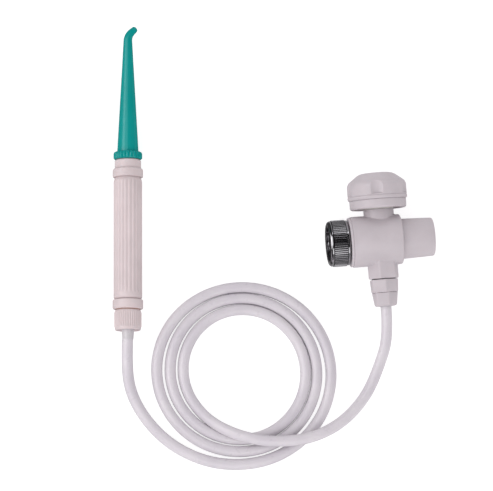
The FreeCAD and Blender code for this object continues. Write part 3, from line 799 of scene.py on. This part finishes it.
def jet_tip():
    """Long drawn cone with a bent end and a fine water hole."""
    foot = span("jet_tip", HAND)[0]
    collar_end = span("tip_collar", HAND)[1]
    tip_end = JET_BEND_A + JET_BEND_RADIUS * math.radians(JET_BEND_DEG) + JET_END_LENGTH
    cone = [(collar_end + 0.4, JET_FOOT_R), *JET_WAIST, (JET_BEND_A, JET_SLIM_R)]
    outer = [(foot, 4.9), (foot, JET_FOOT_R)]
    for (a, r), (b, s) in zip(cone, cone[1:]):
        outer += [(a + (b - a) * k / 8, r + (s - r) * k / 8) for k in range(8)]
    outer += [(a, JET_SLIM_R - 0.8 * ((a - JET_BEND_A) / (tip_end - JET_BEND_A)) ** 1.2)
              for a in spread(JET_BEND_A, tip_end - 1.15, 18)]
    outer += [(tip_end - 0.8, 1.78), (tip_end - 0.45, 1.58), (tip_end - 0.18, 1.28), (tip_end - 0.04, 0.94),
              (tip_end, 0.62), (tip_end - 0.2, JET_BORE_R)]
    bore = [(a, JET_BORE_R) for a in spread(tip_end - 0.6, JET_BEND_A, 12)]
    bore += [(130.0, 1.6), (foot + 2.4, 2.2), (foot + 2.4, 4.9)]
    outline = outer + bore
    vertices, faces = spun_mesh(lambda angle: outline, 64, True, jet_line)
    return finish_piece(mesh_object("jet_tip_drawn", vertices, faces, HAND, 30), "tip", "jet_tip")


# ---------------------------------------------------------------- valve pieces

def body_top(radius, angle, body_radius):
    """How far the round body stands along the knob's axis, at a place round that axis."""
    return math.sqrt(body_radius ** 2 - (radius * math.sin(angle)) ** 2)


def saddle(wall, angle, body_radius, fillet, sink):
    """Outline of a fillet between an upright wall and the round body under it, from the body outwards."""
    points = []
    for k in range(9):
        share = k / 8 * math.pi / 2
        radius = wall + fillet * (1 - math.sin(share))
        height = body_top(radius, angle, body_radius) + fillet * (1 - math.cos(share)) - sink * (1 - k / 8)
        points.append((height, radius))
    return points


def valve_body():
    """Round body, with a neck for the knob and a hexagonal boss for the connector, all joined softly."""
    inlet = span("valve_body", VALVE)[0]
    boss_end, neck_top = span("valve_body", KNOB)
    spout_end = max(p.x for p in local_points("valve_body", VALVE))
    radius = 15.1
    neck_r = 8.9
    boss_corner_r = 9.5
    boss_corner_deg = 10.5
    inlet_socket_r, spout_socket_r, passage_r = 9.0, 9.3, 6.7
    inlet_floor, spout_floor = inlet + 7.6, spout_end - 3.8
    outline = rounded([
        (inlet, inlet_socket_r), (inlet, radius - 0.1, 0.45), (spout_end, radius - 0.4, 1.0),
        (spout_end, spout_socket_r), (spout_floor, spout_socket_r), (spout_floor, passage_r),
        (inlet_floor, passage_r), (inlet_floor, inlet_socket_r)], 8)
    body = spin("body_round", VALVE, lambda angle: outline, 160)

    def neck_meridian(angle):
        skirt = saddle(neck_r, angle, radius - 0.2, 0.55, 0.12)
        end = [(neck_top - 0.25, neck_r), (neck_top, neck_r - 0.25), (neck_top, 7.5)]
        return [(8.0, 7.5), (8.0, skirt[0][1] - 0.8)] + skirt + end

    def boss_meridian(angle):
        wall = hexagon(angle, boss_corner_r, boss_corner_deg)
        skirt = [(-height, r) for height, r in saddle(wall, angle, radius - 0.2, 0.5, 0.12)]
        end = [(boss_end + 0.9, wall), (boss_end + 0.3, wall - 0.12), (boss_end, wall - 0.5),
               (boss_end, 6.0)]
        return [(-8.0, 6.0), (-8.0, skirt[0][1] - 0.8)] + skirt + end
    neck = spin("body_neck", KNOB, neck_meridian, 160)
    boss = spin("body_boss", KNOB, boss_meridian, 192)
    made = combined("valve_body_moulded", body, (neck, boss), "UNION", 28)
    return finish_piece(made, "base", "valve_body")


def lip_ring():
    """Ring at the inlet end of the body."""
    start, end = span("lip_ring", VALVE)
    outer = reach("lip_ring", VALVE)
    made = turned("lip_ring_moulded", VALVE, [
        (start, 9.0), (start, outer, 0.6), (end - 0.12, outer, 0.12), (end - 0.1, outer - 0.2),
        (end, outer - 0.2), (end, 9.0)], 160)
    return finish_piece(made, "base", "lip_ring")


def faucet_nut():
    """Chromed swivel nut: rounded rim, straight knurls, smooth collar and a cut thread."""
    start, end = span("faucet_nut", VALVE)
    outer = reach("faucet_nut", VALVE)
    band, band_end = start + 2.2, end - 1.5
    pitch = 1.0
    thread_r = 10.46
    knurls = 66
    rim = [(start + 1.9 * (1 - math.cos(t)), 11.6 + (outer - 11.95) * math.sin(t))
           for t in spread(0.0, math.pi / 2, 12)]
    thread = spread(start + 0.8, start + 6.3, 45)

    def meridian(angle):
        ridge = outer - 0.5 * wave(angle, knurls) ** 4
        shell = rim + rounded([
            (band - 0.15, outer - 0.4), (band, outer - 0.75), (band + 0.1, outer - 0.75),
            (band + 0.3, ridge), (band_end - 0.2, ridge), (band_end, outer - 0.8),
            (band_end + 0.2, outer - 0.45, 0.1), (end, outer - 0.45, 0.6), (end, 9.2), (end - 1.8, 9.2),
            (end - 1.8, 11.1), (start + 6.7, 11.1)])
        cut = []
        for axial in reversed(thread):
            share = (axial / pitch - angle / (2 * math.pi)) % 1
            cut.append((axial, thread_r + 0.55 * abs(2 * share - 1)))
        return shell + cut + [(start + 0.3, 11.2)]
    made = spin("faucet_nut_knurled", VALVE, meridian, knurls * 12, sharp=30)
    return finish_piece(made, "tap_nut", "faucet_nut")


def inlet_screen():
    """Woven strainer disc in its rim."""
    start, end = span("inlet_screen", VALVE)
    rim_radius = reach("inlet_screen", VALVE)
    middle = (start + end) / 2
    rim = turned("inlet_screen_rim", VALVE, [
        (start, 5.2, 0.15), (start, rim_radius, 0.2), (end, rim_radius, 0.2), (end, 5.2, 0.15)], 64)
    pitch = 0.62
    weave_r = 5.4
    lift_height = 0.12
    wires = []
    for across in (False, True):
        for i in range(-8, 9):
            offset = i * pitch
            half = math.sqrt(weave_r ** 2 - offset ** 2)
            line = []
            for along in spread(-half, half, 40):
                lift = lift_height * math.cos(math.pi * (along / pitch + i + across))
                place = (middle + lift, offset, along) if across else (middle + lift, along, offset)
                line.append(VALVE @ Vector(place))
            wires.append(line)
    data = bpy.data.curves.new("inlet_screen_weave", "CURVE")
    data.dimensions = "3D"
    for line in wires:
        spline = data.splines.new("POLY")
        spline.points.add(len(line) - 1)
        for point, place in zip(spline.points, line):
            point.co = (*place, 1)
    data.bevel_depth = 0.11 * MM
    data.bevel_resolution = 1
    data.use_fill_caps = True
    weave = bpy.data.objects.new("inlet_screen_weave", data)
    bpy.context.scene.collection.objects.link(weave)
    finish_piece(weave, "base", "inlet_screen")
    return finish_piece(rim, "base", "inlet_screen")


def spout():
    """Plain round outlet with a soft rim and a recessed mouth."""
    start, end = span("spout", VALVE)
    outer = reach("spout", VALVE)
    shoulder = 12.0
    made = turned("spout_moulded", VALVE, [
        (start, 6.2), (start, 9.2, 0.2), (shoulder, 9.2), (shoulder + 0.02, outer - 0.25, 0.12),
        (shoulder + 0.35, outer, 0.2), (end, outer - 0.6, 1.25), (end, 9.35, 0.3), (end - 0.9, 9.0, 0.4),
        (end - 7.0, 9.0), (end - 7.0, 6.2)], 160)
    return finish_piece(made, "base", "spout")


def spout_insert():
    """Flow straightener: a domed disc with a ring of holes about a seventh."""
    start, end = span("spout_insert", VALVE)
    outer = reach("spout_insert", VALVE)
    disc = turned("spout_insert_disc", VALVE, [
        (start, 0.0), (start, outer, 0.2), (end, outer, 0.3), (end - 0.25, outer - 1.2, 0.4), (end, 0.0)])
    hole_r, mouth_r, ring_r = 1.9, 2.6, 5.3
    outline = [(start - 1, 0.0), (start - 1, hole_r), (end - 0.45, hole_r), (end + 0.4, mouth_r),
               (end + 0.4, 0.0)]
    holes = []
    for i in range(7):
        away = 0.0 if i == 0 else ring_r
        angle = math.radians(60 * i)
        centre = Matrix.Translation((0, away * math.cos(angle), away * math.sin(angle)))
        holes.append(spin(f"hole_{i}", VALVE @ centre, lambda angle: outline, 40, False))
    made = combined("spout_insert_moulded", disc, holes, "DIFFERENCE", 30)
    return finish_piece(made, "base", "spout_insert")


def scallop_limit(angle, side, depth, half_angle, first_deg, count):
    """Radius of the finger scallops' floor at an angle, or a large number between them."""
    chord = side * math.cos(half_angle)
    near = side - depth
    centre = (chord ** 2 + (side * math.sin(half_angle)) ** 2 - near ** 2) / (2 * (chord - near))
    cutter = centre - near
    step = 2 * math.pi / count
    off = (angle - math.radians(first_deg) + step / 2) % step - step / 2
    if abs(off) > 1.4 * half_angle:
        return 99.0
    return centre * math.cos(off) - math.sqrt(max(0.0, cutter ** 2 - (centre * math.sin(off)) ** 2))


def knob_cap():
    """Domed cap with a rounded rim and five finger scallops, each with a ledge at its foot."""
    start, top = span("knob_cap", KNOB)
    outer = reach("knob_cap", KNOB)
    side = outer - 0.15
    band = start + 3.1
    shoulder = start + 10.2
    lower = rounded([(start, 15.0), (start, outer - 1.2, 0.3), (start + 0.6, outer - 0.25, 0.8),
                     (start + 1.6, outer, 1.0), (band - 0.35, side + 0.03, 0.3)], 4)[:-1]
    dome = rounded([(band, side), (shoulder, side, 4.5), (top, 9.8, 8.0), (top + 0.12, 0.0)], 16)
    wall = [(axial, side) for axial in spread(band + 0.05, dome[1][0] - 0.05, 6)]
    inside = rounded([(top - 2.4, 0.0), (top - 2.4, 7.0, 3.0), (start + 8.7, 15.0, 2.0), (start, 15.0)], 5)

    def meridian(angle):
        limit = scallop_limit(angle, side, depth=1.25, half_angle=math.radians(12), first_deg=83, count=5)
        cut = min(side, limit)
        upper = [(band, side), (band + 0.02, cut)]
        upper += [(axial, min(r, limit)) for axial, r in wall + dome[1:]]
        return lower + upper + inside
    made = spin("knob_cap_scalloped", KNOB, meridian, 360, closed=False, sharp=26)
    return finish_piece(made, "knob", "knob_cap")


def knob_skirt():
    """Lower disc of the knob, with its floor round the stem."""
    start, end = span("knob_skirt", KNOB)
    outer = reach("knob_skirt", KNOB)
    cap_start = span("knob_cap", KNOB)[0]
    lip_end = cap_start + 2.4
    hub_r, stem_r, inside_r = 5.5, 2.6, 14.4
    hub_foot, ceiling = 21.6, 22.0
    made = turned("knob_skirt_moulded", KNOB, [
        (start, inside_r, 0.2), (start, outer - 0.1, 1.2), (cap_start - 0.02, outer, 0.15),
        (cap_start, 14.9), (lip_end, 14.9), (lip_end, 13.4), (cap_start, 13.4), (cap_start, hub_r),
        (end, hub_r), (end, stem_r), (hub_foot, stem_r), (hub_foot, hub_r), (ceiling, hub_r + 0.1),
        (ceiling, inside_r)], 160)
    return finish_piece(made, "knob", "knob_skirt")


def outlet_adapter():
    """Slightly tapered hexagon, with the barb for the hose under it."""
    start, end = span("outlet_adapter", KNOB)
    clamp_start = span("clamp_nut", KNOB)[1]
    top = span("outlet_seal", KNOB)[0]
    bore_r, barb_r, shank_r, tenon_r = 1.6, 2.5, 4.5, 5.9
    barb_ridge, barb_end, shank_start = -37.6, -36.2, -36.1

    def meridian(angle):
        wide = hexagon(angle, 9.12, 90)
        narrow = hexagon(angle, 8.66, 90)
        return [
            (start, bore_r), (start, barb_r - 0.3), (barb_ridge, barb_r), (barb_end, barb_r),
            (shank_start, shank_r), (clamp_start, shank_r), (clamp_start, min(narrow, 7.6)),
            (clamp_start + 0.15, min(narrow - 0.2, 7.9)), (clamp_start + 0.5, narrow), (top - 0.6, wide),
            (top - 0.25, wide - 0.12), (top, wide - 0.5), (top, tenon_r), (end, tenon_r), (end, bore_r)]
    made = spin("outlet_adapter_hex", KNOB, meridian, 192, sharp=30)
    return finish_piece(made, "base", "outlet_adapter")


def clamp_nut():
    """Tapered hexagon nut with softened ends."""
    start, end = span("clamp_nut", KNOB)

    def meridian(angle):
        wide = hexagon(angle, 7.97, 100)
        narrow = hexagon(angle, 7.04, 100)
        return [
            (start + 2.4, 3.5), (start + 0.3, 3.5), (start, 3.8), (start, narrow - 1.2),
            (start + 0.3, narrow - 0.55), (start + 0.8, narrow - 0.18), (start + 1.4, narrow),
            (end - 0.3, wide), (end - 0.08, wide - 0.12), (end, wide - 0.35), (end, 4.6),
            (start + 2.6, 4.6)]
    return finish_piece(spin("clamp_nut_hex", KNOB, meridian, 192, sharp=30), "base", "clamp_nut")


# ---------------------------------------------------------------- all of it

def carried_nodes():
    """Every CAD node gets its slot's material, for those that stay in view."""
    for node, made in frame["nodes"].items():
        made.data.materials.clear()
        made.data.materials.append(MATERIALS[NODE_SLOTS[node]])


studio()
carried_nodes()
free_hose = hose()
sleeve = hose_sleeve()
hose_nut()
rear_ring()
grip_barrel()
front_ring()
nose()
tip_collar()
jet_tip()
valve_body()
lip_ring()
faucet_nut()
inlet_screen()
spout()
spout_insert()
knob_cap()
knob_skirt()
outlet_adapter()
clamp_nut()
